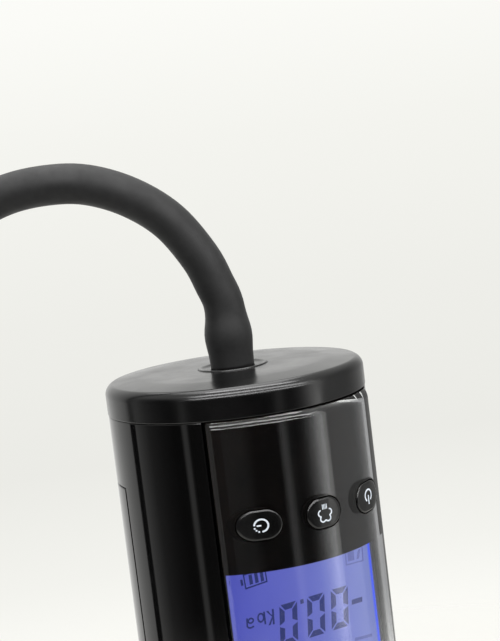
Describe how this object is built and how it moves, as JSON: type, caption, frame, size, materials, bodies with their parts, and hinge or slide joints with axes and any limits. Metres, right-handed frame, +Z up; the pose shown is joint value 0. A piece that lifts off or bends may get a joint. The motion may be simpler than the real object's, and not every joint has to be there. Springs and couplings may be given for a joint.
{
  "type": "cordless vacuum pump",
  "caption": "Hand-held cordless vacuum pump: round gloss body, domed end cap with a soft hose, clear front panel over a backlit display and a row of pill-shaped keys.",
  "frame": {"origin": "middle of the foot pad's underside", "axes": "+Z up along the body, from the foot pad to the end cap with the hose; -Y towards the side that faces whoever reads the display; +X to that reader's right"},
  "size_m": [0.1431, 0.1457, 0.2046],
  "materials": {
    "shell": "gloss black",
    "cap": "satin black",
    "lens": "clear, gloss",
    "print": "black print behind the clear panel",
    "key": "gloss black with printed symbols",
    "lcd": "display glass with dark segments",
    "light": "lit diffuser",
    "white": "white moulding",
    "rubber": "soft matt silicone rubber",
    "frame": "dark grey moulding",
    "board": "green solder mask",
    "chip": "black moulding",
    "steel": "zinc-plated steel",
    "magnet": "sintered ferrite",
    "copper": "enamelled copper",
    "brass": "turned brass",
    "cell": "shrink sleeve",
    "tube": "translucent silicone"
  },
  "bodies": {
    "housing": {"shell": "shell", "rear_cover": "shell", "rear_cover_screws": "steel", "end_cap": "cap", "base_cap": "cap", "base_screws": "steel", "foot_pad": "rubber", "front_panel": "lens", "panel_mask": "print", "timer_switch": "chip", "mode_switch": "chip", "power_switch": "chip", "display_board": "board", "board_screws": "steel", "board_chips": "chip", "lcd_glass": "lcd", "lcd_frame": "white", "backlight": "light", "chassis": "frame", "battery_cell_left": "cell", "battery_cell_right": "cell", "battery_cradle": "frame", "battery_contacts": "brass", "charge_board": "board", "charge_socket": "steel", "motor_can": "steel", "motor_end_bell": "white", "motor_magnets": "magnet", "crankcase": "frame", "crankcase_lid": "frame", "crankcase_screws": "steel", "diaphragm": "rubber", "valve_plate": "white", "check_valves": "rubber", "pump_head": "frame", "pump_head_screws": "steel", "exhaust_muffler": "white", "pump_tube": "tube", "air_manifold": "frame", "pressure_sensor": "white", "sensor_tube": "tube", "release_valve": "steel", "release_coil": "copper", "release_spring": "steel", "hose_spigot": "cap", "spigot_nut": "steel", "hose": "rubber", "hose_connector": "cap"},
    "timer_button": {"timer_key": "key", "timer_plunger": "white"},
    "mode_button": {"mode_key": "key", "mode_plunger": "white"},
    "power_button": {"power_key": "key", "power_plunger": "white"},
    "crank_shaft": {"motor_shaft": "steel", "motor_armature": "copper", "crank": "brass"},
    "pump_rod": {"connecting_rod": "white", "rod_bearing": "steel"},
    "valve_core": {"release_plunger": "steel"}
  },
  "joints": [
    {"name": "timer_press", "type": "slide", "parent": "housing", "child": "timer_button", "axis": [0, 1, 0], "range_m": [0, 0.0005], "stiffness_N_per_m": 800, "springref_m": -0.0005},
    {"name": "mode_press", "type": "slide", "parent": "housing", "child": "mode_button", "axis": [0, 1, 0], "range_m": [0, 0.0005], "stiffness_N_per_m": 800, "springref_m": -0.0005},
    {"name": "power_press", "type": "slide", "parent": "housing", "child": "power_button", "axis": [0, 1, 0], "range_m": [0, 0.0005], "stiffness_N_per_m": 800, "springref_m": -0.0005},
    {"name": "crank_spin", "type": "hinge", "parent": "housing", "child": "crank_shaft", "pos_m": [-0.005, 0.006, 0.1], "axis": [0, 0, 1], "continuous": true, "deforming": ["diaphragm"]},
    {"name": "rod_swing", "type": "hinge", "parent": "crank_shaft", "child": "pump_rod", "pos_m": [-0.0038, 0.006, 0.122], "axis": [0, 0, 1], "continuous": true},
    {"name": "valve_open", "type": "slide", "parent": "housing", "child": "valve_core", "axis": [-1, 0, 0], "range_m": [0, 0.0007], "stiffness_N_per_m": 300, "springref_m": -0.0005, "deforming": ["release_spring"]}
  ],
  "couplings": [
    {"joint": "rod_swing", "follows": "crank_spin", "ratio": -1}
  ]
}
